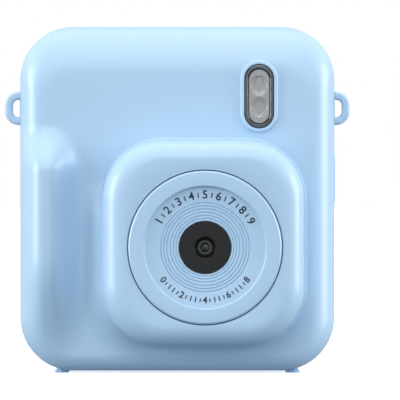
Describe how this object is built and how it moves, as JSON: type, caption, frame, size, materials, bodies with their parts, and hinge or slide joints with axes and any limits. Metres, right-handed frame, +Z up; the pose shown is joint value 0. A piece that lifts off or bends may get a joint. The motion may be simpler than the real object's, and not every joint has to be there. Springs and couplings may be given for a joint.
{
  "type": "digital camera",
  "caption": "Small square pale blue digital camera with a grip bulge, raised lens housing, flash window, screen and keys on the back and strap lugs.",
  "frame": {"origin": "centre of the overall box seen from above, at the underside of the feet", "axes": "+Z up; the lens looks along -Y, the screen along +Y; +X is the right-hand side seen from the front"},
  "size_m": [0.0988, 0.048, 0.099],
  "materials": {
    "blue_shell": "satin",
    "black_gloss": "gloss",
    "black_matte": "matte",
    "clear_glass": "polished",
    "clear_window": "polished",
    "circuit_board": "matte",
    "orange_lead": "satin",
    "dark_chrome": "polished",
    "silver_reflector": "satin",
    "light_chip": "satin",
    "white_key": "satin",
    "grey_rubber": "matte",
    "white_tray": "matte",
    "screw_steel": "brushed",
    "battery_wrap": "satin",
    "red_lead": "satin",
    "black_lead": "satin",
    "blue_silicone": "matte",
    "light_guide": "polished"
  },
  "bodies": {
    "body": {"battery": "battery_wrap", "battery_plug": "white_tray", "battery_wire_black": "black_lead", "battery_wire_red": "red_lead", "board_screw_1": "screw_steel", "board_screw_2": "screw_steel", "board_screw_3": "screw_steel", "card_socket": "screw_steel", "display_panel": "black_gloss", "display_tray": "white_tray", "flash_board": "circuit_board", "flash_flex": "orange_lead", "flash_light": "light_chip", "flash_trim": "dark_chrome", "flash_window": "silver_reflector", "foot_back_left": "blue_shell", "foot_back_right": "blue_shell", "foot_front_left": "blue_shell", "foot_front_right": "blue_shell", "front_shell": "blue_shell", "housing_screw_high_left": "screw_steel", "housing_screw_high_right": "screw_steel", "housing_screw_low_left": "screw_steel", "housing_screw_low_right": "screw_steel", "key_mat": "grey_rubber", "lens_barrel": "black_matte", "lens_cover": "black_gloss", "lens_element": "clear_glass", "lens_ring": "blue_shell", "main_board": "circuit_board", "memory_chip": "black_matte", "microphone": "screw_steel", "port_cover_tether": "blue_silicone", "power_switch": "black_matte", "processor_chip": "black_matte", "rear_shell": "blue_shell", "screen_window": "clear_window", "sensor_board": "circuit_board", "sensor_flex": "orange_lead", "sensor_holder": "black_matte", "shutter_switch": "black_matte", "speaker": "black_matte", "status_light": "light_guide", "strap_lug_left": "blue_shell", "strap_lug_right": "blue_shell", "switch_flex": "orange_lead", "top_switch_board": "circuit_board", "usb_port": "screw_steel"},
    "shutter_button_body": {"shutter_button": "white_key"},
    "power_button_body": {"power_button": "white_key"},
    "port_cover_body": {"port_cover": "blue_silicone"},
    "memory_card_body": {"memory_card": "black_matte"},
    "key_up_body": {"key_up": "white_key"},
    "key_down_body": {"key_down": "white_key"},
    "key_left_body": {"key_left": "white_key"},
    "key_right_body": {"key_right": "white_key"},
    "key_ok_body": {"key_ok": "white_key"},
    "key_mode_body": {"key_mode": "white_key"},
    "key_play_body": {"key_play": "white_key"}
  },
  "joints": [
    {"name": "shutter_button_slide", "type": "slide", "parent": "body", "child": "shutter_button_body", "axis": [0, 0, -1], "range_m": [0, 0.0006], "stiffness_N_per_m": 1500, "springref_m": -0.0003},
    {"name": "power_button_slide", "type": "slide", "parent": "body", "child": "power_button_body", "axis": [0, 0, -1], "range_m": [0, 0.0006], "stiffness_N_per_m": 1500, "springref_m": -0.0003},
    {"name": "key_up_slide", "type": "slide", "parent": "body", "child": "key_up_body", "axis": [0, -1, 0], "range_m": [0, 0.0005], "stiffness_N_per_m": 1200, "springref_m": -0.0003},
    {"name": "key_down_slide", "type": "slide", "parent": "body", "child": "key_down_body", "axis": [0, -1, 0], "range_m": [0, 0.0005], "stiffness_N_per_m": 1200, "springref_m": -0.0003},
    {"name": "key_left_slide", "type": "slide", "parent": "body", "child": "key_left_body", "axis": [0, -1, 0], "range_m": [0, 0.0005], "stiffness_N_per_m": 1200, "springref_m": -0.0003},
    {"name": "key_right_slide", "type": "slide", "parent": "body", "child": "key_right_body", "axis": [0, -1, 0], "range_m": [0, 0.0005], "stiffness_N_per_m": 1200, "springref_m": -0.0003},
    {"name": "key_ok_slide", "type": "slide", "parent": "body", "child": "key_ok_body", "axis": [0, -1, 0], "range_m": [0, 0.0005], "stiffness_N_per_m": 1200, "springref_m": -0.0003},
    {"name": "key_mode_slide", "type": "slide", "parent": "body", "child": "key_mode_body", "axis": [0, -1, 0], "range_m": [0, 0.0005], "stiffness_N_per_m": 1200, "springref_m": -0.0003},
    {"name": "key_play_slide", "type": "slide", "parent": "body", "child": "key_play_body", "axis": [0, -1, 0], "range_m": [0, 0.0005], "stiffness_N_per_m": 1200, "springref_m": -0.0003},
    {"name": "memory_card_slide", "type": "slide", "parent": "body", "child": "memory_card_body", "axis": [1, 0, 0], "range_m": [-0.0006, 0.0148]},
    {"name": "port_cover_hinge", "type": "hinge", "parent": "body", "child": "port_cover_body", "pos_m": [0.0449, 0.0136, 0.0493], "axis": [0, 1, 0], "range_deg": [0, 95]}
  ]
}
